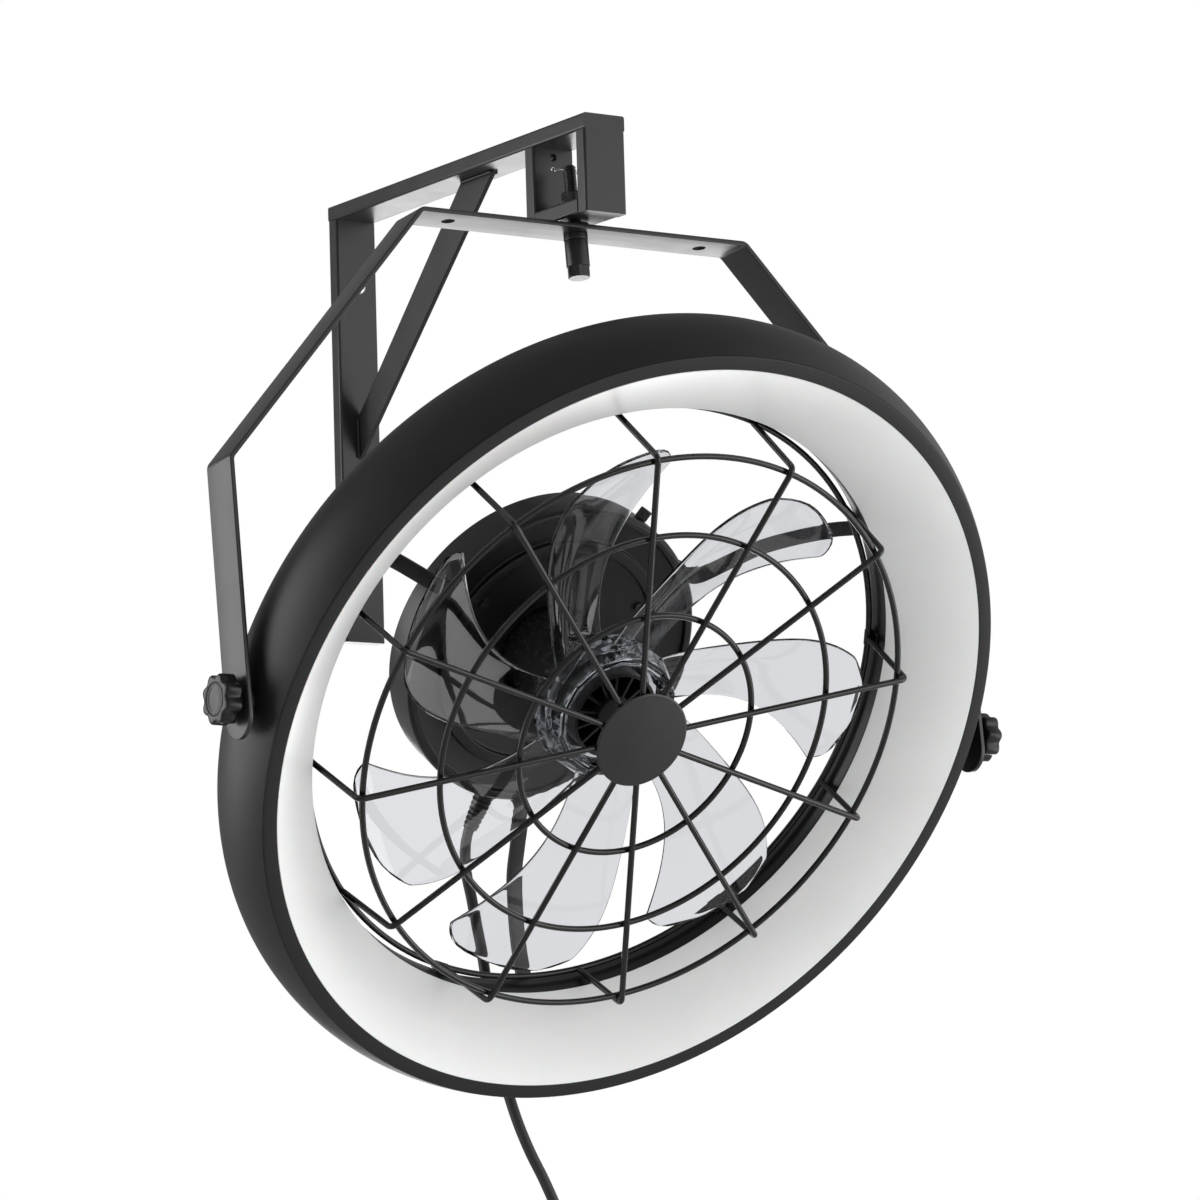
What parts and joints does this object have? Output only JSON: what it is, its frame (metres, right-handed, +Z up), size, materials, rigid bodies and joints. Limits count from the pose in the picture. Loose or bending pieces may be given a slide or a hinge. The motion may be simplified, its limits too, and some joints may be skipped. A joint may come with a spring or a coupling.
{
  "type": "wall mounted fan",
  "caption": "Wall mounted fan with a ring lamp, wire grille and clear swept blades, hung in a tilting yoke under a steel wall bracket.",
  "frame": {"origin": "in the wall plane, midway between the two wall screws", "axes": "+Y into the wall, -Y the way the fan faces, +Z up, X along the tilt axis"},
  "size_m": [0.564, 0.4946, 0.8223],
  "materials": {
    "black_steel": "satin powder coat",
    "bright_steel": "bright zinc",
    "black_fastener": "black oxide",
    "black_plastic": "matt",
    "ring_plastic": "fine orange-peel, satin",
    "opal": "opal, satin",
    "led": "matt",
    "grille_wire": "semi-gloss powder coat",
    "cast_alloy": "machined",
    "stator": "varnished",
    "white_plastic": "matt",
    "board": "solder mask",
    "magnet": "plain",
    "clear_blades": "clear moulded plastic, polished",
    "knob_plastic": "fine matt",
    "cord_rubber": "matt",
    "pin_brass": "bright"
  },
  "bodies": {
    "bracket": {"wall_upright": "black_steel", "top_arm": "black_steel", "box_front_plate": "black_steel", "box_bottom_plate": "black_steel", "box_rear_plate": "black_steel", "diagonal_brace": "black_steel", "wall_screws": "bright_steel", "swivel_bolt": "black_fastener", "spacer_sleeve": "black_plastic", "swivel_collar": "black_fastener", "swivel_washers": "black_fastener", "swivel_nut": "black_fastener", "split_pin": "bright_steel"},
    "yoke_arm": {"yoke": "black_steel"},
    "head": {"ring_shell": "ring_plastic", "inner_band": "black_plastic", "diffuser": "opal", "led_strip": "led", "pivot_studs": "bright_steel", "pivot_bushes": "black_plastic", "grille_spokes": "grille_wire", "grille_rings": "grille_wire", "grille_back_ring": "grille_wire", "grille_cap": "grille_wire", "grille_backplate": "grille_wire", "grille_clips": "grille_wire", "support_arms": "black_steel", "arm_screws": "black_fastener", "motor_housing": "black_plastic", "motor_back_cover": "black_plastic", "cover_screws": "bright_steel", "housing_screws": "black_fastener", "thumb_screw": "black_fastener", "bearing_tube": "cast_alloy", "bearings": "bright_steel", "stator_core": "stator", "led_driver": "white_plastic", "control_board": "board", "cord_gland": "cord_rubber", "cord": "cord_rubber", "cord_coil": "cord_rubber", "cord_tie": "cord_rubber", "plug": "cord_rubber", "plug_pins": "pin_brass"},
    "rotor": {"rotor_can": "black_fastener", "rotor_magnets": "magnet", "motor_shaft": "bright_steel", "hub_core": "black_plastic", "impeller": "clear_blades"},
    "left_knob": {"knob_left": "knob_plastic", "knob_cap_left": "knob_plastic"},
    "right_knob": {"knob_right": "knob_plastic", "knob_cap_right": "knob_plastic"}
  },
  "joints": [
    {"name": "swivel", "type": "hinge", "parent": "bracket", "child": "yoke_arm", "pos_m": [0, -0.2694, 0.079], "axis": [0, 0.1045, 0.9945], "range_deg": [-60, 60]},
    {"name": "tilt", "type": "hinge", "parent": "yoke_arm", "child": "head", "pos_m": [0, -0.3018, -0.2293], "axis": [1, 0, 0], "range_deg": [-70, 50]},
    {"name": "fan_spin", "type": "hinge", "parent": "head", "child": "rotor", "pos_m": [0, -0.3018, -0.2293], "axis": [0, -0.8346, -0.5509], "continuous": true},
    {"name": "left_knob_turn", "type": "hinge", "parent": "head", "child": "left_knob", "pos_m": [-0.275, -0.3018, -0.2293], "axis": [-1, 0, 0], "continuous": true},
    {"name": "right_knob_turn", "type": "hinge", "parent": "head", "child": "right_knob", "pos_m": [0.275, -0.3018, -0.2293], "axis": [1, 0, 0], "continuous": true}
  ]
}
